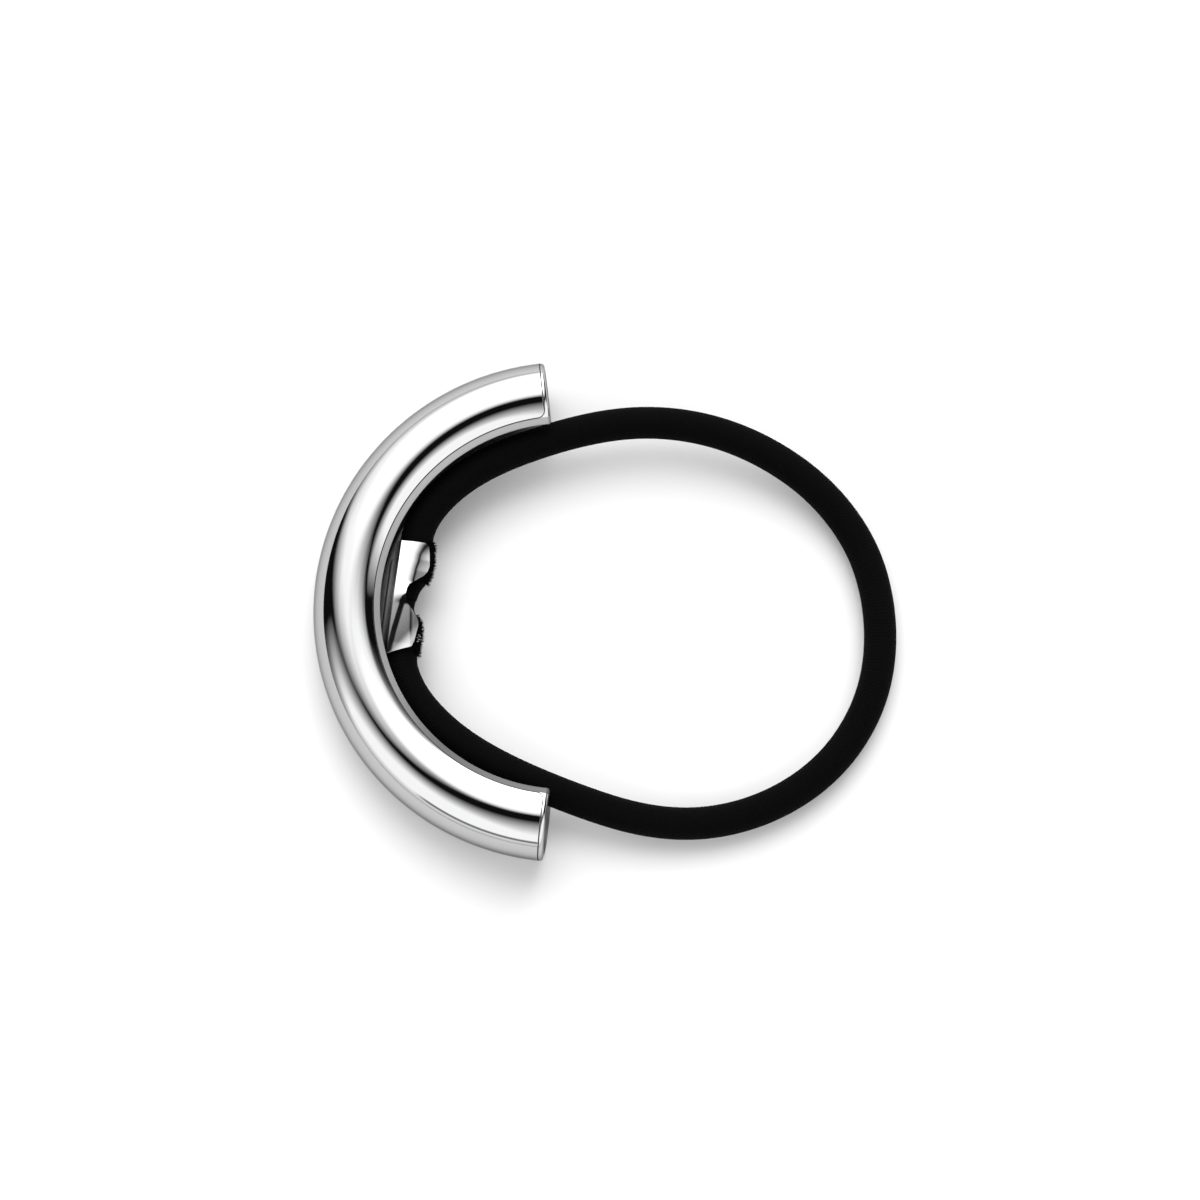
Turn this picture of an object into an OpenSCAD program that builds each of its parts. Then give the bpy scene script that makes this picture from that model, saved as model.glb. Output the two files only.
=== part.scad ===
// Ponytail cuff: a polished half ring of hollow round bar, open along its inner side, and a round
// elastic whose two ends are held in a folded clamp that sits in the bar's mouth.
// The cuff lies on its side, with the ring's axis upright and its open side towards +X.

/* [Bar] */
// Radius of the bar's centre line, from the ring's axis
ring_r = 26.4; // [25.6:0.1:32]
// Outside diameter of the bar
bar_d = 9.85; // [9.4:0.05:12]
// Thickness of the bar's wall
wall = 0.95; // [0.7:0.05:1.2]
// How far the bar goes round the ring's axis, in degrees
arc_angle = 170; // [140:1:180]
// Width of the flat bevel along each edge of the mouth
bevel_w = 1.1; // [0.6:0.1:1.6]
// Radius of the rounding round each end of the bar
end_round = 0.5; // [0.2:0.1:0.6]

/* [Elastic] */
// Diameter of the elastic
elastic_d = 4; // [3:0.1:4.2]
// Room between the elastic and the clamp's leaves
elastic_gap = 0.05; // [0.05:0.01:0.1]

/* [Clamp] */
// Thickness of the clamp's sheet
sheet_t = 0.5; // [0.3:0.05:0.6]
// Length of the clamp, along the elastic
clamp_len = 14.2; // [12:0.1:15]
// How far the clamp's leaves reach from its back, at the widest
clamp_reach = 4.95; // [4.6:0.05:5.4]
// Outer radius of the bend between the clamp's back and its leaves
bend_r = 1.2; // [0.8:0.1:1.4]
// How far the lower half of each leaf is pressed in past its valley line
pinch = 0.3; // [0.2:0.05:0.4]
// Width of the step from the valley line down to the pressed face
dent_w = 0.35; // [0.3:0.05:0.5]
// Fall of a leaf past its fold line, for each millimetre of its reach
fold_slope = 0.5; // [0.2:0.1:0.5]
// Where the clamp's middle is on the ring, in degrees from +X
clamp_at = 176.4; // [175:0.1:178]
// How far the clamp is turned from the bar's own direction, in degrees
clamp_turn = -3.4; // [-4:0.1:-2]
// How far the clamp's back stands inside the ring of the mouth's edges
clamp_in = 0.35; // [0.2:0.05:0.6]
// Room between the clamp and the bar, on each side
clamp_gap = 0.08; // [0.05:0.01:0.2]

/* [Foot of the clamp] */
// Length of the foot, along the bar
foot_len = 5; // [3:0.5:6]
// Thickness of the foot's head, across the bar
foot_t = 1.2; // [0.8:0.1:2]
// Height of the foot's neck
neck_h = 3.2; // [2:0.1:4]
// How far the foot's head is behind the mouth's lips
foot_play = 0.5; // [0.4:0.1:0.8]

/* [Hidden] */
$fn = 96;
// Length of each straight end of the bar, for each millimetre of its rounding
END_RUN = 1.2;
mid_z = bar_d / 2;
inner_r = bar_d / 2 - wall;
clamp_h = elastic_d + 2 * (elastic_gap + sheet_t);

// Where the mouth cuts the wall's inside, it is as high as the clamp and its room.
mouth_a = asin((clamp_h / 2 + clamp_gap) / inner_r);
bevel_a = 2 * asin(bevel_w / bar_d);
edge_r = ring_r - bar_d / 2 * cos(mouth_a);
lip_r = ring_r - inner_r * cos(mouth_a);
end_len = END_RUN * end_round;
swept_a = arc_angle - 2 * end_len / ring_r * 180 / PI;

// The origin is under the middle of the bar's box.
outer_r = ring_r + bar_d / 2;
open_x = (edge_r + end_round * cos(mouth_a)) * cos(swept_a / 2) - end_len * sin(swept_a / 2);
origin_x = (outer_r + open_x) / 2;

clamp_r = edge_r - clamp_in;
head_r = lip_r + foot_play;
foot_reach = head_r - clamp_r;
head_half = channel_half(head_r - foot_len / 2 * sin(abs(clamp_turn))) - clamp_gap;

// Leaves of the clamp: each row is a place along it, as a share of half its length from -1 at its
// lower end to 1 at its upper end, then the share of clamp_reach that a leaf reaches there.
REACH = [
    [-1, 0.26], [-0.94, 0.44], [-0.88, 0.66], [-0.84, 0.83], [-0.74, 0.88], [-0.46, 0.93], [-0.38, 0.915],
    [-0.32, 0.87], [-0.2, 0.735], [-0.12, 0.62], [-0.04, 0.555], [0.06, 0.52], [0.16, 0.53], [0.24, 0.575],
    [0.34, 0.74], [0.44, 0.9], [0.52, 0.97], [0.62, 1], [0.84, 0.96], [0.96, 0.92], [1, 0.82]
];
// Each row is a place along the clamp and the share of clamp_reach where the leaf's fold line is.
FOLD = [
    [-1, 0.85], [-0.74, 0.82], [-0.24, 0.74], [0.06, 0.5], [0.28, 0.57], [0.76, 0.66], [0.88, 0.82], [1, 0.85]
];
// Each row is a place along the clamp and the share of clamp_reach where the valley line is.
VALLEY = [[-1, 0.26], [-0.6, 0.35], [0, 0.49]];
// Each row is a place along the clamp and the share of pinch that the leaf is pressed in by there.
DENT = [[-1, 0.4], [-0.8, 1], [-0.1, 1], [0.06, 0]];
// The lines keep their order between the bend and the tip: the least and most share of the way that
// the valley line, the foot of its step and the fold line may be at.
ORDER = [[0.05, 0.7], [0.1, 0.8], [0.15, 0.9]];
BEND_STEP = 15;
STATIONS = 40;

// Ends of the elastic: each row is a distance from the cut, in diameters, the share of the diameter
// that the elastic is wide there, and the share of the whole squeeze that its height is less by. The
// whole squeeze is the dent's and the fall's of the tabs, whose width past the fold is TAB.
ENDS = [
    [0, 0.8, 0.5], [0.4, 0.88, 0.5], [0.8, 1.04, 0.5], [1.2, 1.08, 0.38], [1.6, 1.06, 0.3], [2, 1, 0.14],
    [2.6, 1, 0]
];
TAB = 0.29;
squeeze = pinch + fold_slope * TAB * clamp_reach + 3 * elastic_gap;
ELASTIC_SIDES = 10;
ELASTIC_STEPS = 2;

// Route of the elastic from its upper cut end round the loop to its lower one. Each row steers the
// curve at x and y from the ring's axis and a height: 0 lies on the table, 1 is the bar's middle.
ROUTE = [
    [-20.2, 1, 1],
    [-19.9, 2.9, 1],
    [-18.7, 4.9, 1],
    [-18.8, 7.6, 1],
    [-18.4, 10.5, 1],
    [-16.6, 13.4, 1],
    [-13.6, 16.3, 1],
    [-9.5, 18.8, 1],
    [-4.5, 20.8, 1],
    [0.7, 22.4, 1],
    [6.1, 23.5, 1],
    [11.4, 23.7, 1],
    [16.8, 23, 0.9],
    [21.9, 21.4, 0.75],
    [26.8, 18.9, 0.5],
    [31.2, 15.6, 0.3],
    [34.8, 11.5, 0],
    [37.3, 6.8, 0],
    [38.6, 1.5, 0],
    [38.9, -3.9, 0],
    [38.1, -9.4, 0],
    [36, -14.4, 0],
    [32.8, -18.8, 0],
    [28.6, -22.3, 0],
    [23.7, -24.8, 0],
    [18.5, -26.2, 0],
    [13.2, -26.5, 0.1],
    [7.8, -25.7, 0.3],
    [2.6, -24.1, 0.6],
    [-2.5, -22.2, 0.85],
    [-7.4, -20.1, 1],
    [-12.2, -17.4, 1],
    [-15.8, -14.5, 1],
    [-18.6, -11.4, 1],
    [-20.2, -8.3, 1],
    [-20.7, -5.4, 1],
    [-20, -2.8, 1],
    [-20, -0.8, 1],
    [-20.3, 1.2, 1]
];

function reverse(list) = [for (i = [len(list) - 1:-1:0]) list[i]];

// Half the height of the channel inside the bar, at a radius from the ring's axis
function channel_half(r) = sqrt(inner_r ^ 2 - (ring_r - r) ^ 2);

// A closed solid through rings of points. Each ring has the same even number of points, and its first
// half faces its second half, so that each end is closed by a strip between the two halves.
module loft(rings) {
    n = len(rings[0]);
    last = len(rings) - 1;
    sides = [
        for (i = [0:last - 1], j = [0:n - 1])
            let (k = (j + 1) % n)
                each [[i * n + j, i * n + k, (i + 1) * n + k], [i * n + j, (i + 1) * n + k, (i + 1) * n + j]]
    ];
    strip = [for (j = [0:n / 2 - 2]) each [[j, n - 2 - j, j + 1], [j, n - 1 - j, n - 2 - j]]];
    polyhedron(
        points = [for (ring = rings) each ring],
        faces = concat(strip, sides, [for (face = strip) [for (j = reverse(face)) last * n + j]]),
        convexity = 6
    );
}

// The bar's section about its own centre, with the ring's axis on its left
module bar_section() {
    far = bar_d;
    difference() {
        circle(d = bar_d);
        circle(r = inner_r);
        polygon([[0, 0], for (side = [1, -1]) [-far * cos(mouth_a), side * far * sin(mouth_a)]]);
        for (side = [-1, 1]) {
            rotate(180 + side * (mouth_a + bevel_a / 2))
                translate([bar_d / 2 * cos(bevel_a / 2), -bar_d / 2]) square(bar_d);
        }
    }
}

// A short straight stub of the bar, whose outer edge is round
module bar_end() {
    intersection() {
        linear_extrude(end_len) bar_section();
        rotate_extrude() {
            square([bar_d / 2 - end_round, end_len]);
            square([bar_d / 2, end_len - end_round]);
            intersection() {
                translate([bar_d / 2 - end_round, end_len - end_round]) circle(r = end_round);
                square(bar_d);
            }
        }
    }
}

module upper_end() {
    rotate([0, 0, 180 - swept_a / 2]) translate([ring_r, 0, 0]) rotate([90, 0, 0]) bar_end();
}

module cuff() {
    color("silver") translate([origin_x, 0, mid_z]) {
        rotate([0, 0, 180 - swept_a / 2]) rotate_extrude(angle = swept_a)
            translate([ring_r, 0]) bar_section();
        upper_end();
        mirror([0, 1, 0]) upper_end();
    }
}

// A line's distance from the clamp's back, kept in its order between the bend and the tip
function on_leaf(u, tip, row) =
    bend_r + (tip - bend_r) * min(max((u - bend_r) / (tip - bend_r), ORDER[row][0]), ORDER[row][1]);

// One leaf of the clamp at a place along it, as [distance from the back, height] from its tip to the
// middle of the back. inset is 0 on the outer face and sheet_t on the inner one.
function leaf(place, inset) =
    let (
        tip = max(lookup(place, REACH) * clamp_reach, bend_r + sheet_t / 2),
        valley = lookup(place, VALLEY) * clamp_reach,
        step = on_leaf(valley + dent_w, tip, 1),
        fold = on_leaf(lookup(place, FOLD) * clamp_reach, tip, 2),
        top = clamp_h / 2 - inset,
        pressed = pinch * lookup(place, DENT),
        round_r = bend_r - inset
    ) concat(
        [
            [tip, top - pressed - fold_slope * (tip - fold)],
            [fold, top - pressed],
            [step, top - pressed],
            [on_leaf(valley, tip, 0), top]
        ],
        [for (a = [0:BEND_STEP:90]) [bend_r - round_r * sin(a), top - round_r * (1 - cos(a))]]
    );

function sheet_line(place, inset) =
    let (upper = leaf(place, inset)) concat(upper, [for (p = reverse(upper)) [p[0], -p[1]]]);

function clamp_ring(place) = [
    for (p = concat(sheet_line(place, 0), reverse(sheet_line(place, sheet_t))))
        [p[0], place * clamp_len / 2, p[1]]
];

module clamp_foot() {
    translate([-foot_reach, -foot_len / 2, -neck_h / 2]) cube([foot_reach + sheet_t / 2, foot_len, neck_h]);
    translate([-foot_reach - foot_t, -foot_len / 2, -head_half]) cube([foot_t, foot_len, 2 * head_half]);
}

module clamp() {
    color("gainsboro") translate([origin_x, 0, mid_z])
        rotate([0, 0, clamp_at]) translate([clamp_r, 0, 0]) rotate([0, 0, 180 + clamp_turn]) {
            loft([for (i = [0:STATIONS]) clamp_ring(2 * i / STATIONS - 1)]);
            clamp_foot();
        }
}

// A row of the elastic's route as a point of its centre line
function route_point(row) =
    [row[0], row[1], elastic_d / 2 + min(max(row[2], 0), 1) * (mid_z - elastic_d / 2)];

// A curve that is smooth across its rows, between the second and the third of four
function between(a, b, c, d, t) =
    let (s = 1 - t)
        (s ^ 3 * a + (4 - 3 * t ^ 2 * (1 + s)) * b + (4 - 3 * s ^ 2 * (1 + t)) * c + t ^ 3 * d) / 6;

function elastic_line() =
    let (last = len(ROUTE) - 1) [
        for (i = [0:last - 1], k = [0:ELASTIC_STEPS - 1])
            route_point(between(
                ROUTE[max(i - 1, 0)], ROUTE[i], ROUTE[i + 1], ROUTE[min(i + 2, last)], k / ELASTIC_STEPS
            )),
        route_point(between(ROUTE[last - 1], ROUTE[last], ROUTE[last], ROUTE[last], 0))
    ];

function end_share(distance, column) =
    lookup(distance / elastic_d, [for (row = ENDS) [row[0], row[column]]]);

function elastic_ring(line, i) =
    let (
        last = len(line) - 1,
        along = line[min(i + 1, last)] - line[max(i - 1, 0)],
        side = [along[1], -along[0], 0] / norm([along[0], along[1]]),
        up = cross(side, along) / norm(along),
        from_cut = min(norm(line[i] - line[0]), norm(line[i] - line[last])),
        half_w = elastic_d / 2 * end_share(from_cut, 1),
        half_h = elastic_d / 2 - squeeze * end_share(from_cut, 2)
    ) [
        for (j = [0:ELASTIC_SIDES - 1])
            let (a = 360 * (j + 0.5) / ELASTIC_SIDES) line[i] + half_w * cos(a) * side + half_h * sin(a) * up
    ];

module elastic() {
    line = elastic_line();
    color([0.07, 0.07, 0.07]) translate([origin_x, 0, 0])
        loft([for (i = [0:len(line) - 1]) elastic_ring(line, i)]);
}

cuff();
clamp();
elastic();
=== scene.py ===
"""Looks of the ponytail cuff: a polished half ring, its pressed clamp and a knitted elastic, on a table.

Lengths are in millimetres and become metres where a mesh, a point or a light is made. Places on the
bar are given from the ring's axis, which stands upright, and the open side looks towards +X.
"""
import math

import bpy
import numpy as np
from mathutils import Matrix, Vector


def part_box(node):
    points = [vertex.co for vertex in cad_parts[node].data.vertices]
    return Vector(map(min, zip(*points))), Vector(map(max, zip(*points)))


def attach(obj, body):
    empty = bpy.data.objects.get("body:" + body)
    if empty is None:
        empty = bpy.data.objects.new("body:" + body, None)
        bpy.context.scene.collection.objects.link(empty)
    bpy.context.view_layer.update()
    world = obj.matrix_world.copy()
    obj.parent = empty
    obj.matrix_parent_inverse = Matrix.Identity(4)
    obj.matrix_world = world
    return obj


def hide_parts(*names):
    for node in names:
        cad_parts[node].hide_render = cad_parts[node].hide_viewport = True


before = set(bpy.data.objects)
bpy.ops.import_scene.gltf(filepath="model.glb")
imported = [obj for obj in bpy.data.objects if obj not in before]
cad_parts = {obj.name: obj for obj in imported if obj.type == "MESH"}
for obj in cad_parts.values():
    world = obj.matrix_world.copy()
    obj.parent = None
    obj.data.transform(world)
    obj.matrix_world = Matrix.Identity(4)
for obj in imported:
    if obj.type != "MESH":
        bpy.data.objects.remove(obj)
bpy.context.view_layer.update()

MM = 0.001

# The bar, as it was built
RING_R = 26.4
BAR_R = 9.85 / 2
WALL = 0.95
INNER_R = BAR_R - WALL
SWEPT = 167.4
END_LEN = 0.6
END_ROUND = 0.5
MOUTH = 41.43
BEVEL = 12.83

# Fine detail of the bar: the lips' rounding, and the fine groove that borders the bevels and the ends
LIP_ROUND = 0.16
LIP_STEPS = 6
GROOVE_HALF = 0.09
GROOVE_DEPTH = 0.02
GROOVE_CORNER = 1.0
GROOVE_AT = END_ROUND + GROOVE_HALF
# A place is painted dark, as the shade in the groove, where the groove is deeper than this share
GROOVE_SHADE_SHARE = 0.15

# Places of the points across the bevel, and where the points lie close together past the bevel and past
# the rounding of the ends, as (from, to)
ACROSS_BEVEL = [-0.85, -0.7, -0.55, -0.4, -0.25, -0.12, -0.09, -0.06, -0.03, 0]
FINE_STEP = 0.03
MEDIUM_STEP = 0.04
PAST_BEVEL_FINE = (0.03, 0.13)
PAST_BEVEL_MEDIUM = (0.16, 1.2)
PAST_END_FINE = (0.03, 0.2)
PAST_END_MEDIUM = (0.22, 1.3)
OUTER_STEPS = 40
END_STEPS = 9
MIDDLE_STEPS = 116
# Edges that turn more than this, in degrees, are sharp
BAR_SHARP = 35
CLAMP_SHARP = 40

# Finish and shade marks: 0 is polished, 1 is satin, and from there to 2 a place is painted darker, as
# shade.
# The bevels are satin, and are painted dimmer, as shade, from a share of the bar's length, over a share
# of it.
# The hollow is satin and painted darker, as shade inside it, and 2 is the groove's painted shade.
POLISHED = 0.0
SATIN = 1
PAINTED_GROOVE_SHADE = 2.0
BEVEL_SHADE_DEPTH = 0.66
BEVEL_SHADE_FROM = 0.6
BEVEL_SHADE_OVER = 0.2
HOLLOW_SATIN_AND_SHADE = 1.5

# The clamp, as it was built. Its tables begin with a place along it, from -1 at its lower end to 1.
CLAMP_LEN = 14.2
CLAMP_REACH = 4.95
CLAMP_H = 5.1
SHEET = 0.5
CLAMP_AT = 176.4
CLAMP_TURN = -3.4
CLAMP_R = 22.36
# How far the leaves reach, as a share of the longest reach
REACH = [
    (-1, 0.26), (-0.94, 0.44), (-0.88, 0.66), (-0.84, 0.83), (-0.74, 0.88), (-0.46, 0.93),
    (-0.38, 0.915), (-0.32, 0.87), (-0.2, 0.735), (-0.12, 0.62), (-0.04, 0.555), (0.06, 0.52),
    (0.16, 0.53), (0.24, 0.575), (0.34, 0.74), (0.44, 0.9), (0.52, 0.97), (0.62, 1), (0.84, 0.96),
    (0.96, 0.92), (1, 0.82),
]
# The pressed part of the leaf: its depth and the width of its slope, which are less than was built,
# where it begins, as a share of the reach, and how fully it is pressed
PINCH = 0.06
DENT_W = 0.3
VALLEY = [(-1, 0.245), (-0.6, 0.31), (0, 0.45), (0.08, 0.56)]
DENT = [(-1, 0.7), (-0.8, 1), (0.05, 1), (0.1, 0)]
# The tabs bend down past a fold: where it lies, how steeply they fall and how wide its rounding is
FOLD = [
    (-1, 0.85), (-0.74, 0.82), (-0.24, 0.74), (-0.1, 0.7), (0.06, 0.58), (0.28, 0.54), (0.76, 0.61),
    (1, 0.66),
]
FOLD_FALL = [(-1, 0.24), (0, 0.24), (0.2, 0.5), (0.5, 0.48), (0.7, 0.42), (0.9, 0.3), (1, 0.24)]
FOLD_ROUND = [(-1, 0.25), (0, 0.25), (0.3, 0.8), (1, 0.8)]
# The leaf rises from the bend across its upper half, and falls along both halves from the middle
LEAN = [(-1, 0), (-0.1, 0.02), (0.06, 0.09), (1, 0.09)]
FALL_UP = 0.06
FALL_DOWN = 0.055
FALL_ROUND = 0.3
# Its lower corner curls up past a slanting line through a point
CORNER_AT = (-6.35, 2.5)
CORNER_AWAY = (-0.588, 0.809)
CORNER_RISE = 0.075
CORNER_ROUND = 0.5
# The creases are softened over these distances
LEAF_SOFT = (0.16 * 0.6, 0.16 * 1.2)
# The bend, as (distance from the back, depth) of its corners outside and inside, how satin each of them
# is, how far the back has moved in along the clamp, and how much of that its inside follows
BEND = [(1.15, 0), (0.3, -0.49), (0, -1.2)]
BEND_INSIDE = [(1.28, -0.5), (0.68, -0.85), (0.5, -1.25)]
BEND_ROUND = 0.12
BEND_STEPS = 5
BEND_FINISH = [0, 0.9, 0.4]
BACK = [(-1, 0), (0.62, 0), (0.72, 0.45), (1, 0.5)]
INSIDE_FOLLOWS = 0.75
# Points across a leaf, heights of the points on its back as shares, and rows of points along the clamp
LEAF_STEPS = 46
BACK_SHARES = (0.7, 0.4, 0.1)
CLAMP_STEPS = 121
# The least width of a leaf, the rounding of the clamp's edges, and a hair's breadth between two points
LEAF_LEAST = 0.1
CLAMP_EDGE = 0.07
HAIR = 0.001

# The elastic, as it was built. The clamp's leaf squeezes it by the depth of its pressed part, by the fall
# of a tab, which is a slope over a share of the reach, and by the gaps.
ELASTIC_D = 4.0
ELASTIC_GAP = 0.05
ELASTIC_PINCH = 0.3
TAB = 0.29
TAB_SLOPE = 0.5
SQUEEZE = ELASTIC_PINCH + TAB_SLOPE * TAB * CLAMP_REACH + 3 * ELASTIC_GAP
# Near its cut ends: distance in diameters, widths at the upper and the lower end, and share of squeeze.
# The lower end is slimmer than was built, because it doesn't show in the clamp's notch.
ENDS = [
    (0, 0.8, 0.8, 0.5), (0.24, 0.85, 0.62, 0.5), (0.4, 0.88, 0.68, 0.5), (0.5, 0.92, 0.74, 0.5),
    (0.65, 0.98, 0.95, 0.5), (0.8, 1.04, 1.04, 0.5), (1.2, 1.08, 1.08, 0.38), (1.6, 1.06, 1.06, 0.3),
    (2, 1, 1, 0.14), (2.6, 1, 1, 0),
]
# Its route from the upper cut end round the loop to the lower one, as x and y from the ring's axis and a
# height, which is 0 on the table and 1 at the bar's middle
ROUTE = [
    (-20.2, 1, 1), (-19.9, 2.9, 1), (-18.7, 4.9, 1), (-18.8, 7.6, 1), (-18.4, 10.5, 1),
    (-16.6, 13.4, 1), (-13.6, 16.3, 1), (-9.5, 18.8, 1), (-4.5, 20.8, 1), (0.7, 22.4, 1),
    (6.1, 23.5, 1), (11.4, 23.7, 1), (16.8, 23, 0.9), (21.9, 21.4, 0.75), (26.8, 18.9, 0.5),
    (31.2, 15.6, 0.3), (34.8, 11.5, 0), (37.3, 6.8, 0), (38.6, 1.5, 0), (38.9, -3.9, 0),
    (38.1, -9.4, 0), (36, -14.4, 0), (32.8, -18.8, 0), (28.6, -22.3, 0), (23.7, -24.8, 0),
    (18.5, -26.2, 0), (13.2, -26.5, 0.1), (7.8, -25.7, 0.3), (2.6, -24.1, 0.6), (-2.5, -22.2, 0.85),
    (-7.4, -20.1, 1), (-12.2, -17.4, 1), (-15.8, -14.5, 1), (-18.6, -11.4, 1), (-20.2, -8.3, 1),
    (-20.7, -5.4, 1), (-20, -2.8, 1), (-20, -0.8, 1), (-20.3, 1.2, 1),
]

# Steps between two points of the route, sides of the tube, and the depth of its ribs
LINE_STEPS = 16
SIDES = 48
RIB = 0.05

# Where its cover is frayed beside each tab: the steps of its line, how many threads there are, and how
# many of them are pale rubber, which has a span of its own
FRAYS_UPPER = ((25, 54), 700, 0)
FRAYS_LOWER = ((-50, -17), 800, 12)
PALE_SPAN = (-39, -32)
# A thread's least and most angle round the elastic, how much its way strays, and its radius
BLACK_THREAD = (-42, 42, 0.5, 0.05)
PALE_THREAD = (10, 35, 0.3, 0.04)
BLACK_LENGTH = (0.25, 0.62)
PALE_LENGTH = 0.35
# Its root's share of the way out from the centre line, its sag, how much it thins and its rows of points
ROOTED = 0.98
SAG = 0.35
THINNING = 0.6
THREAD_ROWS = (0, 0.35, 0.7, 1)

# Plate: its grey level and how far that and its roughness vary, how rough it is on the bar and on the
# clamp, its tint at grazing angles, its level and added roughness where it is satin, and how much darker
# its colour is painted, as shade, in the groove, the hollow and the dim part of the bevels
PLATE_LEVEL = 0.46
LEVEL_SPREAD = (0.97, 1.03)
BLUE_SPREAD = 0.98
GLOSS_SPREAD = (0.7, 1.3)
BAR_GLOSS = 0.05
CLAMP_GLOSS = 0.08
EDGE_TINT = 0.45
SATIN_LEVEL = 0.38
SATIN_GLOSS = 0.55
PAINTED_SHADE_DEPTH = 0.93
# Noise, as (scale, detail), and bumps, as (strength, distance in metres)
CLOUD = (180, 3)
POLISH_MARKS = (900, 4)
POLISH_BUMP = (0.05, 0.00001)
KNIT_CLOUD = (1500, 3)
STITCH_BUMP = (0.6, 0.00006)
FRAY_CLOUD = (2500, 2)

# The elastic's blacks, its pale rubber, and the stitches of its cover, round it and in one turn's length
BLACK = (0.0004, 0.0004, 0.0005, 1)
KNIT_BLACK = (0.0012, 0.0012, 0.0013, 1)
FRAY_BLACK = (0.0015, 0.0015, 0.0016, 1)
PALE_RUBBER = (0.55, 0.55, 0.53, 1)
KNIT_ROUGHNESS = 0.85
KNIT_SPECULAR = 0.035
KNIT_SHEEN = 0.006
SHEEN_ROUGHNESS = 0.5
FRAY_ROUGHNESS = 0.7
FRAY_SPECULAR = 0.03
STITCH_COLUMNS = 24
STITCH_ROWS = 30

# The photograph's view: the camera's height above the floor and its turn, in degrees
VIEW_ELEVATION = 79
VIEW_TURN = 7
VIEW_DISTANCE = 400
VIEW_CENTRE = (20.63, 2.05, 0)
LENS = 96
SENSOR = 36

# The light tent, on a flat map of the sky whose middle is overhead and whose rim is the horizon at 1.
# A dark slit crosses it, which the camera looks through. Each row is a place across the map (x), where
# the back panel begins (y) and over what width it becomes full, its strength, and the same two
# lengths for the front panel, which begins below.
TENT = [
    (-0.95, 0.35, 0.2, 0, 0.1, 0.55),
    (-0.8, 0.33, 0.2, 0, 0.12, 0.33),
    (-0.7, 0.2, 0.25, 0.65, 0.12, 0.3),
    (-0.55, 0.04, 0.3, 0.95, 0.06, 0.32),
    (-0.4, -0.03, 0.23, 1, -0.01, 0.33),
    (-0.25, -0.05, 0.2, 1, -0.1, 0.37),
    (-0.15, -0.03, 0.15, 1, -0.12, 0.5),
    (-0.05, 0.05, 0.09, 1, -0.13, 0.55),
    (0.05, 0.04, 0.1, 1, -0.13, 0.5),
    (0.2, 0.01, 0.15, 1, -0.07, 0.29),
    (0.35, 0.02, 0.22, 0.97, 0, 0.2),
    (0.45, 0.1, 0.25, 0.9, 0.06, 0.19),
    (0.53, 0.25, 0.2, 0.25, 0.12, 0.22),
    (0.62, 0.3, 0.2, 0.05, 0.13, 0.24),
    (0.8, 0.3, 0.2, 0, 0.13, 0.24),
]
PANEL_LEVEL = 2.48
# Past this y, the strength's places slant across by this much
SHEAR_FROM = 0.45
SHEAR = 0.2
# The panels' share of their level at the horizon, and the height where they are full
PANEL_FOOT = 0.4
FOOT_HEIGHT = 0.3
# A grey patch in the back panel: x, y and radius, its level in the middle, and how much narrower it is
PATCH = (-0.04, 0.25, 0.12)
PATCH_LEVEL = 0.6
PATCH_NARROW = 1.6
# The lamp behind the back panel: azimuth, elevation and its inner and outer radius, in degrees. It shows
# between two depths into the panel, where the panel's strength is between two values.
LAMP = (72, 50, 10, 55)
LAMP_LEVEL = 6
LAMP_DEPTH = (1, 3)
LAMP_STRENGTH = (0.85, 1)
# A dark seam in the front panel: its azimuth, the edge of its half width, its foot and its top, each as
# the two ends of a soft edge, and how much darker it is
SEAM_AT = 245
SEAM_EDGE = (0.3, 0.42)
SEAM_FOOT = (0.17, 0.23)
SEAM_TOP = (0.3, 0.37)
SEAM_DARK = 0.8
# The level where no panel is, which also keeps a division from zero
FAINT = 0.01

TABLE_WHITE = 0.625
TABLE_ROUGHNESS = 0.7
TABLE_SPECULAR = 0.1
TABLE_HALF = 3.0

cuff_low, cuff_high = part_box("cuff")
MID_Z = (cuff_low.z + cuff_high.z) / 2 / MM
RING_X = cuff_low.x / MM + RING_R + BAR_R


def cosd(angle):
    return math.cos(math.radians(angle))


def sind(angle):
    return math.sin(math.radians(angle))


def unit(v):
    """The vector of length 1 that points the same way."""
    return v / np.linalg.norm(v)


def smooth(x):
    """Goes from 0 to 1 as x does, without a kink, and stays there."""
    t = min(max(x, 0), 1)
    return t * t * (3 - 2 * t)


def lookup(x, rows, column=1):
    """The value at x of a column of a table, whose first column holds the places."""
    return float(np.interp(x, [row[0] for row in rows], [row[column] for row in rows]))


def add_camera():
    """The camera looks at the photograph's middle, with +Y upwards in the picture."""
    back = Vector((
        sind(VIEW_TURN) * cosd(VIEW_ELEVATION),
        -cosd(VIEW_TURN) * cosd(VIEW_ELEVATION),
        sind(VIEW_ELEVATION),
    ))
    data = bpy.data.cameras.new("camera")
    data.lens = LENS
    data.sensor_width = SENSOR
    data.clip_start = 0.01
    data.clip_end = 20
    camera = bpy.data.objects.new("camera", data)
    bpy.context.collection.objects.link(camera)
    camera.location = (Vector(VIEW_CENTRE) + back * VIEW_DISTANCE) * MM
    right = Vector((0, 1, 0)).cross(back).normalized()
    camera.rotation_mode = "QUATERNION"
    camera.rotation_quaternion = Matrix((right, back.cross(right), back)).transposed().to_quaternion()
    bpy.context.scene.camera = camera


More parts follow.
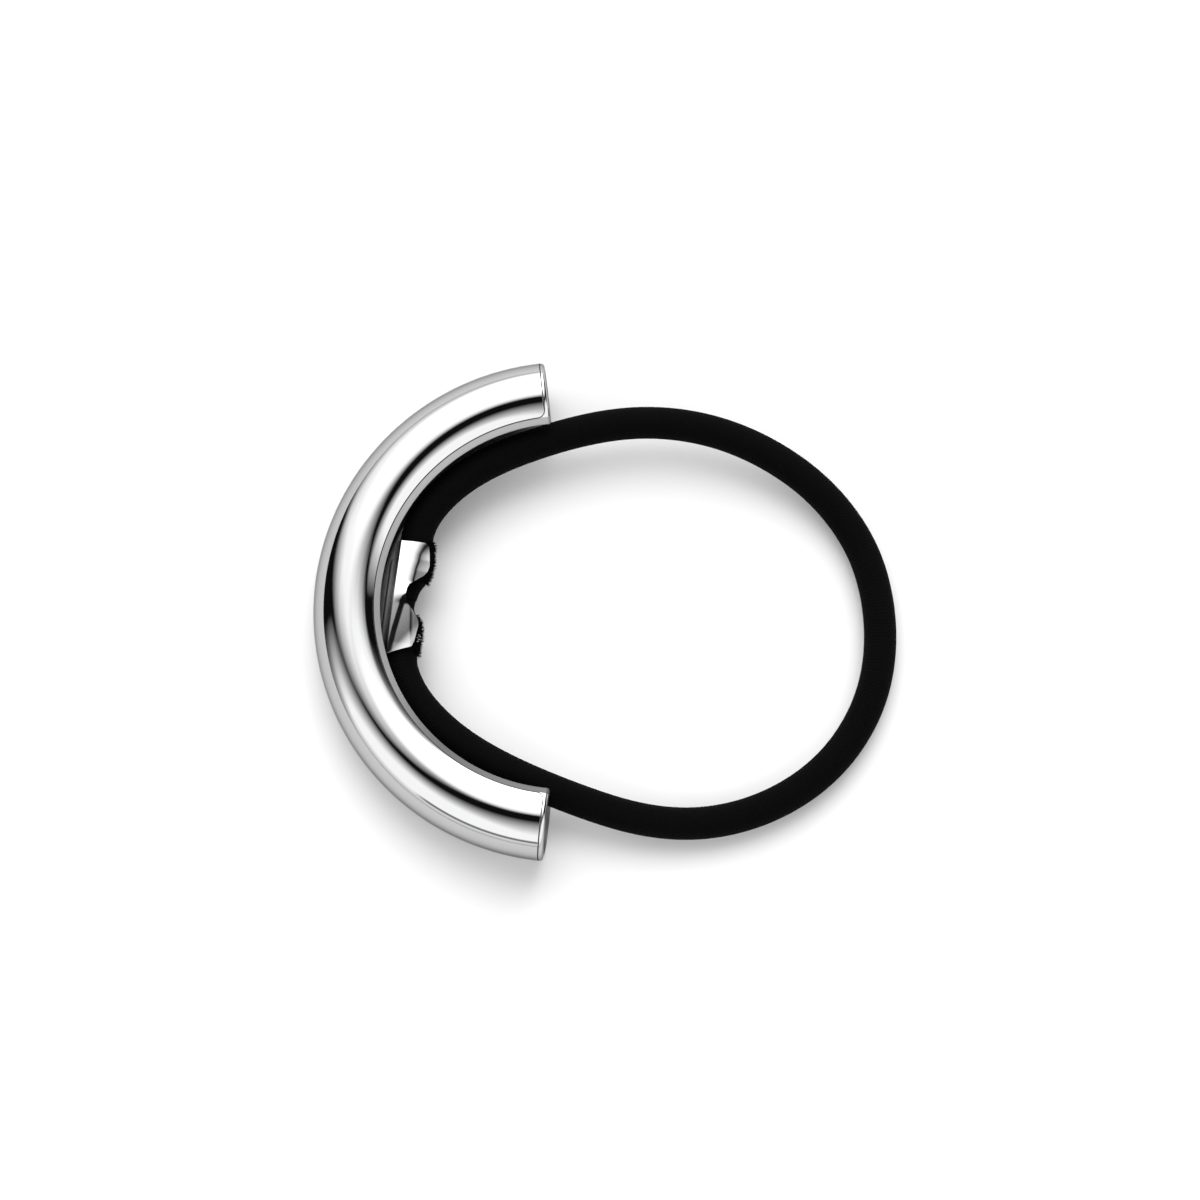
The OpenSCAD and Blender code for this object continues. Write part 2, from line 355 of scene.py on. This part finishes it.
def mesh_piece(name, points, faces, material, uv=None, marks=None):
    """A smooth mesh piece from points in millimetres, with an optional (u, v) or mark for each point."""
    mesh = bpy.data.meshes.new(name)
    mesh.from_pydata([tuple(p) for p in np.asarray(points) * MM], [], faces)
    if uv is not None:
        layer = mesh.uv_layers.new(name="UVMap")
        for loop in mesh.loops:
            layer.data[loop.index].uv = uv[loop.vertex_index]
    if marks is not None:
        layer = mesh.attributes.new(name="finish_and_shade", type="FLOAT", domain="POINT")
        layer.data.foreach_set("value", marks)
    mesh.polygons.foreach_set("use_smooth", [True] * len(mesh.polygons))
    mesh.materials.append(material)
    piece = bpy.data.objects.new(name, mesh)
    bpy.context.collection.objects.link(piece)
    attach(piece, "root")
    return piece


def loft(rings):
    """Points and faces of a closed solid through rings whose first half faces their second half."""
    count, size = len(rings), len(rings[0])
    faces = []
    for i in range(count - 1):
        for j in range(size):
            k = (j + 1) % size
            faces.append((i * size + j, i * size + k, (i + 1) * size + k, (i + 1) * size + j))
    first = [(j, size - 1 - j, size - 2 - j, j + 1) for j in range(size // 2 - 1)]
    last = (count - 1) * size
    return np.concatenate(rings), first + faces + [tuple(last + j for j in reversed(f)) for f in first]


def rounded(before, corner, after, radius, steps):
    """Points of the arc that rounds a corner between two straight lines."""
    back, ahead = unit(before - corner), unit(after - corner)
    half = math.acos(float(back @ ahead)) / 2
    middle = corner + unit(back + ahead) * radius / math.sin(half)
    start = corner + back * radius / math.tan(half) - middle
    end = corner + ahead * radius / math.tan(half) - middle
    return [middle + radius * unit(start * (1 - t) + end * t) for t in np.linspace(0, 1, steps)]


def on_bar(angle, radius):
    """A point of the bar's section. Angle 0 is inwards, to the ring's axis, and 90 is up."""
    return np.array([-radius * cosd(angle), radius * sind(angle)])


def bar_upper_half():
    """Outer and inner points of the section's upper half, from the mouth's lip to its outer side.

    The third list is each outer point's distance past the bevel, which is negative on the bevel.
    """
    lip, far_edge = on_bar(MOUTH, BAR_R), on_bar(MOUTH + BEVEL, BAR_R)
    inner_lip = on_bar(MOUTH, INNER_R)
    outer = rounded(inner_lip, lip, far_edge, LIP_ROUND, LIP_STEPS)
    bevel_w = np.linalg.norm(far_edge - lip)
    past = [-bevel_w] * LIP_STEPS
    for distance in ACROSS_BEVEL:
        outer.append(far_edge + unit(lip - far_edge) * -distance)
        past.append(distance)
    arc = list(np.arange(*PAST_BEVEL_FINE, FINE_STEP)) + list(np.arange(*PAST_BEVEL_MEDIUM, MEDIUM_STEP))
    first = MOUTH + BEVEL + math.degrees(arc[-1] / BAR_R)
    rest = np.linspace(first, 180, OUTER_STEPS)[1:]
    arc += [math.radians(a - MOUTH - BEVEL) * BAR_R for a in rest]
    for distance in arc:
        outer.append(on_bar(MOUTH + BEVEL + math.degrees(distance / BAR_R), BAR_R))
        past.append(distance)
    tangent = inner_lip + np.array([sind(MOUTH), cosd(MOUTH)])
    inner = rounded(lip, inner_lip, tangent, LIP_ROUND, LIP_STEPS)
    start = MOUTH + math.degrees(LIP_ROUND / INNER_R)
    angles = [math.degrees(math.atan2(p[1], -p[0])) for p in outer[LIP_STEPS:]]
    share = [(a - angles[0]) / (180 - angles[0]) for a in angles]
    # The first point lies a hundredth on, so that it doesn't repeat the last one of the rounding
    inner += [on_bar(start + (180 - start) * (s * 0.99 + 0.01), INNER_R) for s in share]
    return outer, inner, past


def groove_at(past, from_end):
    """Depth of the groove at a place past the bevel and from the bar's end."""
    a, b = past, from_end - GROOVE_AT
    if a < GROOVE_CORNER and b < GROOVE_CORNER:
        distance = GROOVE_CORNER - math.hypot(GROOVE_CORNER - a, GROOVE_CORNER - b)
    else:
        distance = min(a, b)
    if abs(distance) >= GROOVE_HALF:
        return 0
    return GROOVE_DEPTH * (1 + math.cos(math.pi * distance / GROOVE_HALF)) / 2


def bar_finish_and_shade(past, along, length):
    """0 on the polished bar, 1 on the satin bevel, more where the bevel is painted dimmer as shade, and 2
    where the groove is painted dark as shade.
    """
    # The groove is painted dark, as the shade in it
    if groove_at(past, min(along, length - along)) > GROOVE_DEPTH * GROOVE_SHADE_SHARE:
        return PAINTED_GROOVE_SHADE
    if past >= 0:
        return POLISHED
    # Past a share of the bar's length the bevel is painted dimmer, as shade
    return SATIN + BEVEL_SHADE_DEPTH * smooth((along / length - BEVEL_SHADE_FROM) / BEVEL_SHADE_OVER)


def bar_ring(outer, inner, past, along, length):
    """The section's points at a distance along the bar, in the row's frame."""
    side = 1 if along < length / 2 else -1
    from_end = min(along, length - along)
    if from_end < END_LEN:
        theta, stub = 180 - SWEPT / 2, END_LEN - from_end
    else:
        theta, stub = 180 - SWEPT / 2 + math.degrees((from_end - END_LEN) / RING_R), 0
    outward = np.array([cosd(theta), side * sind(theta), 0])
    forward = np.array([sind(theta), -side * cosd(theta), 0])
    centre = np.array([RING_X, 0, MID_Z]) + RING_R * outward + stub * forward
    lost = END_ROUND - math.sqrt(max(END_ROUND ** 2 - max(END_ROUND - from_end, 0) ** 2, 0))
    limit = BAR_R - lost
    up = np.array([0, 0, 1])
    shell = []
    for p, w in zip(outer, past):
        radius = min(np.linalg.norm(p) - groove_at(w, from_end), limit)
        shell.append(unit(p) * radius)
    upper_out = [centre + p[0] * outward + p[1] * up for p in shell]
    lower_out = [centre + p[0] * outward - p[1] * up for p in reversed(shell[:-1])]
    upper_in = [centre + p[0] * outward + p[1] * up for p in inner]
    lower_in = [centre + p[0] * outward - p[1] * up for p in reversed(inner[:-1])]
    return np.array(upper_out + lower_out + list(reversed(upper_in + lower_in)))


def add_cuff(material):
    """The half ring, in rows of points along the bar that lie closer near its ends."""
    outer, inner, past = bar_upper_half()
    length = math.radians(SWEPT) * RING_R + 2 * END_LEN
    near_end = [END_ROUND * (1 - cosd(a)) for a in np.linspace(0, 90, END_STEPS)]
    for (start, end), step in ((PAST_END_FINE, FINE_STEP), (PAST_END_MEDIUM, MEDIUM_STEP)):
        near_end += list(np.arange(END_ROUND + start, END_ROUND + end, step))
    middle = np.linspace(near_end[-1], length - near_end[-1], MIDDLE_STEPS)
    stations = near_end[:-1] + list(middle) + [length - b for b in reversed(near_end[:-1])]
    rings = [bar_ring(outer, inner, past, along, length) for along in stations]
    points, faces = loft(rings)
    marks = []
    for along in stations:
        upper = [bar_finish_and_shade(w, along, length) for w in past]
        # The hollow's mark makes it satin and paints it darker, as the shade inside it
        marks += upper + upper[-2::-1] + [HOLLOW_SATIN_AND_SHADE] * (2 * len(upper) - 1)
    piece = mesh_piece("cuff_polished", points, faces, material, marks=marks)
    piece.data.set_sharp_from_angle(angle=math.radians(BAR_SHARP))
    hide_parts("cuff")


def turned(past, width):
    """How far a surface has turned past a line, with a rounding of a width on each side of it."""
    return np.where(past > width, past, np.maximum(past + width, 0) ** 2 / (4 * width))


def leaf_relief(along, u):
    """How much higher than flat the clamp's leaf is at places on it."""
    place = along / (CLAMP_LEN / 2)

    def row(rows):
        return np.interp(place, [r[0] for r in rows], [r[1] for r in rows])

    pressed = PINCH * row(DENT) * np.clip((u - row(VALLEY) * CLAMP_REACH) / DENT_W, 0, 1)
    over = turned(u - row(FOLD) * CLAMP_REACH, row(FOLD_ROUND))
    height = row(LEAN) * (u - BEND[0][0] - over) - row(FOLD_FALL) * over - pressed
    height -= FALL_UP * turned(along - FALL_ROUND, FALL_ROUND) + FALL_DOWN * turned(-along, FALL_ROUND)
    past = CORNER_AWAY[0] * (along - CORNER_AT[0]) + CORNER_AWAY[1] * (u - CORNER_AT[1])
    return height + CORNER_RISE * turned(past, CORNER_ROUND)


def soft_relief(along, u):
    """The leaf's relief with its creases softened, as the mean of places round each place."""
    spots = [(0, 0)]
    for radius in LEAF_SOFT:
        spots += [(radius * cosd(a), radius * sind(a)) for a in range(0, 360, 45)]
    return sum(leaf_relief(along + a, u + b) for a, b in spots) / len(spots)


def leaf(place, bend, inset):
    """One leaf of the clamp at a place along it, as (distance from the back, height) from its tip."""
    along = place * CLAMP_LEN / 2
    back = lookup(place, BACK)
    start = bend[0][0] + (INSIDE_FOLLOWS * back if inset else 0)
    tip = max(lookup(place, REACH) * CLAMP_REACH, start + LEAF_LEAST)
    flat = np.linspace(tip, start, LEAF_STEPS)
    relief = soft_relief(np.full(LEAF_STEPS, along), flat)
    section = list(zip(flat, CLAMP_H / 2 - inset + relief))
    corners = [np.array(c) for c in bend]
    before, after = np.array([bend[0][0] + 1, bend[0][1]]), np.array([bend[2][0], -CLAMP_H / 2])
    line = [before] + corners + [after]
    for first, corner, last in zip(line, corners, line[2:]):
        for u, depth in rounded(first, corner, last, BEND_ROUND, BEND_STEPS):
            moved = u + INSIDE_FOLLOWS * back if inset else back + u * (start - back) / start
            section.append((min(moved, start - HAIR), CLAMP_H / 2 + depth + relief[-1]))
    u, z = section[-1]
    return section + [(u, z * share) for share in BACK_SHARES]


def clamp_place(u, along, z):
    """A point of the clamp in the row's frame, from its own distance, place and height."""
    turn = 180 + CLAMP_TURN
    x = u * cosd(turn) - along * sind(turn) + CLAMP_R
    y = u * sind(turn) + along * cosd(turn)
    return (
        x * cosd(CLAMP_AT) - y * sind(CLAMP_AT) + RING_X,
        x * sind(CLAMP_AT) + y * cosd(CLAMP_AT),
        z + MID_Z,
    )


def add_clamp(material):
    """The clamp: its outside and inside as one line of points in each row along it."""
    rings = []
    for place in np.linspace(-1, 1, CLAMP_STEPS):
        line = []
        for bend, inset in ((BEND, 0), (BEND_INSIDE, SHEET)):
            upper = leaf(place, bend, inset)
            both = upper + [(u, -z) for u, z in reversed(upper)]
            line += both if inset == 0 else list(reversed(both))
        rings.append(np.array([clamp_place(u, place * CLAMP_LEN / 2, z) for u, z in line]))
    points, faces = loft(rings)
    bend_marks = [float(level) for level in BEND_FINISH for step in range(BEND_STEPS)]
    half = [POLISHED] * LEAF_STEPS + bend_marks + [POLISHED] * len(BACK_SHARES)
    marks = (half + half[::-1] + [POLISHED] * (2 * len(half))) * len(rings)
    piece = mesh_piece("clamp_pressed", points, faces, material, marks=marks)
    edges = piece.modifiers.new("edges", "BEVEL")
    edges.limit_method = "ANGLE"
    edges.angle_limit = math.radians(CLAMP_SHARP)
    edges.width = CLAMP_EDGE * MM
    edges.segments = 2
    edges.use_clamp_overlap = True
    piece.data.set_sharp_from_angle(angle=math.radians(CLAMP_SHARP))
    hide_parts("clamp")


def between(a, b, c, d, t):
    """A point of a curve that is smooth across its rows, between the second and the third of four."""
    s = 1 - t
    return (s ** 3 * a + (4 - 3 * t ** 2 * (1 + s)) * b + (4 - 3 * s ** 2 * (1 + t)) * c + t ** 3 * d) / 6


def elastic_line():
    """The elastic's centre line in the row's frame, as a smooth curve along its route."""
    rows = np.array(ROUTE, float)
    last = len(rows) - 1
    line = []
    for i in range(last):
        around = rows[max(i - 1, 0)], rows[i], rows[i + 1], rows[min(i + 2, last)]
        for k in range(LINE_STEPS):
            line.append(between(*around, k / LINE_STEPS))
    line.append(between(rows[last - 1], rows[last], rows[last], rows[last], 0))
    radius = ELASTIC_D / 2
    return np.array([
        (x + RING_X, y, radius + min(max(share, 0), 1) * (MID_Z - radius)) for x, y, share in line
    ])


def elastic_section(line, i):
    """The elastic at a step of its line: centre, sideways and up, and half its width and height."""
    along = line[min(i + 1, len(line) - 1)] - line[max(i - 1, 0)]
    side = np.array([along[1], -along[0], 0]) / math.hypot(along[0], along[1])
    up = np.cross(side, along) / np.linalg.norm(along)
    from_cut = min(np.linalg.norm(line[i] - line[0]), np.linalg.norm(line[i] - line[-1])) / ELASTIC_D
    half_w = ELASTIC_D / 2 * lookup(from_cut, ENDS, 1 if i < len(line) / 2 else 2)
    half_h = ELASTIC_D / 2 - SQUEEZE * lookup(from_cut, ENDS, 3)
    return line[i], side, up, half_w, half_h


def fibre(start, way, length, radius):
    """Points and faces of a short bent thread that thins towards its tip."""
    sag = np.array([0, 0, -SAG * length])
    across = unit(np.cross(way, [0.3, 0.2, 1]))
    beside = np.cross(unit(way), across)
    points, faces = [], []
    for k, t in enumerate(THREAD_ROWS):
        middle = start + way * length * t + sag * t * t
        thick = radius * (1 - THINNING * t)
        for q in range(4):
            a = math.pi / 2 * q
            points.append(middle + thick * (math.cos(a) * across + math.sin(a) * beside))
            if k:
                n = (q + 1) % 4
                faces.append((4 * k - 4 + q, 4 * k - 4 + n, 4 * k + n, 4 * k + q))
    tip = 4 * len(THREAD_ROWS) - 4
    return points, [(3, 2, 1, 0)] + faces + [tuple(range(tip, tip + 4))]


def add_frays(name, line, span, count, pale, material):
    """Frayed threads on the elastic's inner side beside a tab, the last few of them pale rubber."""
    rng = np.random.default_rng(len(line) + count)
    points, faces, marks = [], [], []
    for k in range(count):
        is_pale = k >= count - pale
        least, most, stray, radius = PALE_THREAD if is_pale else BLACK_THREAD
        step = int(rng.integers(*(PALE_SPAN if is_pale else span))) % len(line)
        centre, side, up, half_w, half_h = elastic_section(line, step)
        a = math.radians(rng.uniform(least, most))
        out = unit(math.cos(a) * side + math.sin(a) * up)
        root = centre + half_w * ROOTED * math.cos(a) * side + half_h * ROOTED * math.sin(a) * up
        way = unit(out + rng.normal(0, stray, 3))
        length = PALE_LENGTH if is_pale else rng.uniform(*BLACK_LENGTH)
        more, quads = fibre(root, way, length, radius)
        faces += [tuple(len(points) + i for i in quad) for quad in quads]
        points += more
        marks += [float(is_pale)] * len(more)
    piece = mesh_piece(name, points, faces, material, marks=marks)
    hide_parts("elastic")
    return piece


def add_elastic(material, fray_material):
    """The elastic's tube, whose cover has fine ribs along it, with its real length and its frays."""
    line = elastic_line()
    rings, uv, run = [], [], 0
    for i in range(len(line)):
        centre, side, up, half_w, half_h = elastic_section(line, i)
        if i:
            run += np.linalg.norm(centre - line[i - 1])
        ring = []
        for j in range(SIDES):
            a = 2 * math.pi * (j + 0.5) / SIDES
            proud = 0 if j % 2 else -RIB
            ring.append(
                centre + (half_w + proud) * math.cos(a) * side + (half_h + proud) * math.sin(a) * up
            )
            uv.append((j / SIDES, run / (math.pi * ELASTIC_D)))
        rings.append(np.array(ring))
    points, faces = loft(rings)
    piece = mesh_piece("elastic_knit", points, faces, material, uv)
    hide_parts("elastic")
    upper = add_frays("elastic_frays_upper", line, *FRAYS_UPPER, fray_material)
    lower = add_frays("elastic_frays_lower", line, *FRAYS_LOWER, fray_material)


def new_material(name):
    """A material, its nodes and links, and its shader."""
    material = bpy.data.materials.new(name)
    material.use_nodes = True
    nodes, links = material.node_tree.nodes, material.node_tree.links
    return material, nodes, links, nodes["Principled BSDF"]


def grey(level):
    """A neutral colour for a shader's socket."""
    return (level, level, level, 1)


def noise_node(nodes, links, scale, detail):
    """A noise texture in the object's own coordinates."""
    place = nodes.new("ShaderNodeTexCoord")
    texture = nodes.new("ShaderNodeTexNoise")
    texture.inputs["Scale"].default_value = scale
    texture.inputs["Detail"].default_value = detail
    links.new(place.outputs["Object"], texture.inputs["Vector"])
    return texture.outputs["Fac"]


def ramp_node(nodes, links, source, start, end):
    """Turns a 0 to 1 value into a range of colours or grey values."""
    ramp = nodes.new("ShaderNodeValToRGB")
    ramp.color_ramp.elements[0].color = start
    ramp.color_ramp.elements[1].color = end
    links.new(source, ramp.inputs["Fac"])
    return ramp.outputs["Color"]


def math_chain(nodes, links):
    """A function that adds a math node and gives its output. Its values are numbers or sockets."""
    def maths(operation, *values):
        node = nodes.new("ShaderNodeMath")
        node.operation = operation
        for socket, value in zip(node.inputs, values):
            if isinstance(value, (int, float)):
                socket.default_value = value
            else:
                links.new(value, socket)
        return node.outputs[0]
    return maths


def mix_node(nodes, links, factor, a, b):
    """Mixes a socket's colour with one that is the same all over, as the factor's socket says."""
    mix = nodes.new("ShaderNodeMix")
    mix.data_type = "RGBA"
    links.new(factor, mix.inputs["Factor"])
    links.new(a, mix.inputs["A"])
    mix.inputs["B"].default_value = b
    return mix.outputs["Result"]


def finish_and_shade_mark(nodes):
    """The mark that mesh_piece gives each point."""
    mark = nodes.new("ShaderNodeAttribute")
    mark.attribute_name = "finish_and_shade"
    return mark.outputs["Fac"]


def add_bump(nodes, links, height, strength, distance, shader):
    """Relief on the shader, from a height's socket."""
    bump = nodes.new("ShaderNodeBump")
    bump.inputs["Strength"].default_value = strength
    bump.inputs["Distance"].default_value = distance
    links.new(height, bump.inputs["Height"])
    links.new(bump.outputs["Normal"], shader.inputs["Normal"])


def metal(name, level, gloss):
    """Bright plate: faint cloudiness in its colour and gloss, and very fine polishing marks.

    Where the piece's mark is 1 it is satin, and past 1 its colour is painted darker, as shade, most of
    all at 2.
    """
    material, nodes, links, shader = new_material(name)
    maths = math_chain(nodes, links)
    shader.inputs["Metallic"].default_value = 1
    shader.inputs["Specular Tint"].default_value = grey(EDGE_TINT)
    mark = finish_and_shade_mark(nodes)
    satin = maths("MINIMUM", mark, SATIN)
    # Marks past satin paint the colour darker, as shade in the groove, the hollow and the dim part of the
    # bevels
    painted_shade_mark = maths("MAXIMUM", maths("SUBTRACT", mark, SATIN), 0)
    painted_shade_scale = maths("MULTIPLY_ADD", painted_shade_mark, -PAINTED_SHADE_DEPTH, 1)
    cloud = noise_node(nodes, links, *CLOUD)
    least, most = LEVEL_SPREAD
    duller = (level * least, level * least, level * BLUE_SPREAD, 1)
    tone = ramp_node(nodes, links, cloud, duller, grey(level * most))
    shade = mix_node(nodes, links, satin, tone, grey(SATIN_LEVEL))
    shaded_colour = nodes.new("ShaderNodeVectorMath")
    shaded_colour.operation = "SCALE"
    links.new(shade, shaded_colour.inputs["Vector"])
    links.new(painted_shade_scale, shaded_colour.inputs["Scale"])
    links.new(shaded_colour.outputs["Vector"], shader.inputs["Base Color"])
    marks = noise_node(nodes, links, *POLISH_MARKS)
    span = nodes.new("ShaderNodeMapRange")
    span.inputs["To Min"].default_value = gloss * GLOSS_SPREAD[0]
    span.inputs["To Max"].default_value = gloss * GLOSS_SPREAD[1]
    links.new(marks, span.inputs["Value"])
    rough = maths("MULTIPLY_ADD", satin, SATIN_GLOSS, span.outputs["Result"])
    links.new(rough, shader.inputs["Roughness"])
    add_bump(nodes, links, marks, *POLISH_BUMP, shader)
    return material


def knit():
    """The elastic's black knitted cover: rows of small slanted stitches, matt with a faint sheen."""
    material, nodes, links, shader = new_material("elastic_cover")
    tone = ramp_node(nodes, links, noise_node(nodes, links, *KNIT_CLOUD), BLACK, KNIT_BLACK)
    links.new(tone, shader.inputs["Base Color"])
    shader.inputs["Roughness"].default_value = KNIT_ROUGHNESS
    shader.inputs["Specular IOR Level"].default_value = KNIT_SPECULAR
    shader.inputs["Sheen Weight"].default_value = KNIT_SHEEN
    shader.inputs["Sheen Roughness"].default_value = SHEEN_ROUGHNESS
    place = nodes.new("ShaderNodeUVMap")
    place.uv_map = "UVMap"
    split = nodes.new("ShaderNodeSeparateXYZ")
    links.new(place.outputs["UV"], split.inputs["Vector"])

    maths = math_chain(nodes, links)
    columns = maths("MULTIPLY", split.outputs["X"], STITCH_COLUMNS)
    slant = maths("ABSOLUTE", maths("SUBTRACT", maths("FRACT", columns), 0.5))
    rows = maths("ADD", maths("MULTIPLY", split.outputs["Y"], STITCH_ROWS), slant)
    stitch = maths("SINE", maths("MULTIPLY", rows, 2 * math.pi))
    add_bump(nodes, links, stitch, *STITCH_BUMP, shader)
    return material


def frayed():
    """Torn black threads, and pale rubber where the mark says so."""
    material, nodes, links, shader = new_material("frayed_threads")
    tone = ramp_node(nodes, links, noise_node(nodes, links, *FRAY_CLOUD), BLACK, FRAY_BLACK)
    shade = mix_node(nodes, links, finish_and_shade_mark(nodes), tone, PALE_RUBBER)
    links.new(shade, shader.inputs["Base Color"])
    shader.inputs["Roughness"].default_value = FRAY_ROUGHNESS
    shader.inputs["Specular IOR Level"].default_value = FRAY_SPECULAR
    return material


def add_floor():
    """A plain white table."""
    material, nodes, links, shader = new_material("floor")
    shader.inputs["Base Color"].default_value = grey(TABLE_WHITE)
    shader.inputs["Roughness"].default_value = TABLE_ROUGHNESS
    shader.inputs["Specular IOR Level"].default_value = TABLE_SPECULAR
    corners = [(x * TABLE_HALF, y * TABLE_HALF, 0) for x, y in ((-1, -1), (1, -1), (1, 1), (-1, 1))]
    mesh = bpy.data.meshes.new("floor")
    mesh.from_pydata(corners, [], [(0, 1, 2, 3)])
    mesh.materials.append(material)
    floor = bpy.data.objects.new("floor", mesh)
    bpy.context.collection.objects.link(floor)


def add_light():
    """A white light tent round the table, open overhead in a dark slit that the camera looks through.

    The levels are given by direction: x, y and z are the parts of a unit vector from the object.
    """
    world = bpy.data.worlds.new("studio")
    bpy.context.scene.world = world
    world.use_nodes = True
    nodes, links = world.node_tree.nodes, world.node_tree.links
    nodes.clear()
    maths = math_chain(nodes, links)
    place = nodes.new("ShaderNodeTexCoord")
    split = nodes.new("ShaderNodeSeparateXYZ")
    links.new(place.outputs["Generated"], split.inputs["Vector"])
    x, y, z = split.outputs

    def step(value, start, end, low=0, high=1, shape="SMOOTHSTEP"):
        """Goes from low at start to high at end, and stays there."""
        node = nodes.new("ShaderNodeMapRange")
        node.interpolation_type = shape
        for name, number in zip(("From Min", "From Max", "To Min", "To Max"), (start, end, low, high)):
            node.inputs[name].default_value = number
        links.new(value, node.inputs["Value"])
        return node.outputs["Result"]

    def product(*values):
        total = values[0]
        for value in values[1:]:
            total = maths("MULTIPLY", total, value)
        return total

    def curve(place, column):
        """A column of the tent's table at a place across the map."""
        node = nodes.new("ShaderNodeFloatCurve")
        line = node.mapping.curves[0]
        while len(line.points) < len(TENT):
            line.points.new(0, 0)
        for point, row in zip(line.points, TENT):
            point.location = ((row[0] + 1) / 2, (row[column] + 1) / 2)
            point.handle_type = "VECTOR"
        node.mapping.update()
        links.new(maths("MULTIPLY_ADD", place, 0.5, 0.5), node.inputs["Value"])
        return maths("MULTIPLY_ADD", node.outputs["Value"], 2, -1)

    # The flat map, and the back panel with its patch and the lamp behind it
    flat = maths("SQRT", maths("ADD", maths("MAXIMUM", z, 0), 1))
    across = maths("DIVIDE", x, flat)
    ahead = maths("DIVIDE", y, flat)
    past_shear = maths("MAXIMUM", maths("SUBTRACT", ahead, SHEAR_FROM), 0)
    slant = maths("MULTIPLY_ADD", past_shear, SHEAR, across)
    foot = step(z, 0, FOOT_HEIGHT, PANEL_FOOT, 1, "LINEAR")
    rise = maths("DIVIDE", maths("SUBTRACT", ahead, curve(across, 1)), curve(across, 2))
    strength = curve(slant, 3)
    back_panel = product(step(rise, 0, 1, shape="LINEAR"), strength, foot, PANEL_LEVEL)
    aside = maths("MULTIPLY", maths("SUBTRACT", across, PATCH[0]), PATCH_NARROW)
    beyond = maths("SUBTRACT", ahead, PATCH[1])
    distance = maths("SQRT", maths("ADD", product(aside, aside), product(beyond, beyond)))
    back_panel = product(back_panel, step(distance, 0, PATCH[2], PATCH_LEVEL, 1))
    azimuth, elevation, inner, outer = LAMP
    towards = maths("MULTIPLY", x, cosd(elevation) * cosd(azimuth))
    towards = maths("MULTIPLY_ADD", y, cosd(elevation) * sind(azimuth), towards)
    towards = maths("MULTIPLY_ADD", z, sind(elevation), towards)
    glow = step(towards, cosd(outer), cosd(inner), 0, LAMP_LEVEL)
    lamp = product(glow, step(rise, *LAMP_DEPTH), step(strength, *LAMP_STRENGTH))
    back_panel = maths("ADD", back_panel, lamp)

    # The front panel with its seam
    fall = maths("DIVIDE", maths("SUBTRACT", curve(across, 4), ahead), curve(across, 5))
    front_panel = product(step(fall, 0, 1, shape="LINEAR"), foot, PANEL_LEVEL)
    facing = maths("ADD", maths("MULTIPLY", x, cosd(SEAM_AT)), maths("MULTIPLY", y, sind(SEAM_AT)))
    facing = maths("MAXIMUM", facing, FAINT)
    aside = maths("ADD", maths("MULTIPLY", x, -sind(SEAM_AT)), maths("MULTIPLY", y, cosd(SEAM_AT)))
    aside = maths("DIVIDE", maths("ABSOLUTE", aside), facing)
    height = maths("DIVIDE", z, facing)
    top = step(height, *SEAM_TOP, 1, 0)
    seam = product(step(aside, *SEAM_EDGE, 1, 0), step(height, *SEAM_FOOT), top)
    front_panel = product(front_panel, maths("MULTIPLY_ADD", seam, -SEAM_DARK, 1))
    total = maths("ADD", maths("ADD", back_panel, front_panel), FAINT)

    # The background itself is plain white
    light = nodes.new("ShaderNodeBackground")
    links.new(total, light.inputs["Strength"])
    seen = nodes.new("ShaderNodeBackground")
    seen.inputs["Color"].default_value = grey(1)
    ray = nodes.new("ShaderNodeLightPath")
    mix = nodes.new("ShaderNodeMixShader")
    links.new(ray.outputs["Is Camera Ray"], mix.inputs["Fac"])
    links.new(light.outputs["Background"], mix.inputs[1])
    links.new(seen.outputs["Background"], mix.inputs[2])
    out = nodes.new("ShaderNodeOutputWorld")
    links.new(mix.outputs["Shader"], out.inputs["Surface"])
    bpy.context.scene.view_settings.view_transform = "Standard"


add_camera()
add_elastic(knit(), frayed())
add_cuff(metal("polished_metal", PLATE_LEVEL, BAR_GLOSS))
add_clamp(metal("clamp_metal", PLATE_LEVEL, CLAMP_GLOSS))
add_floor()
add_light()
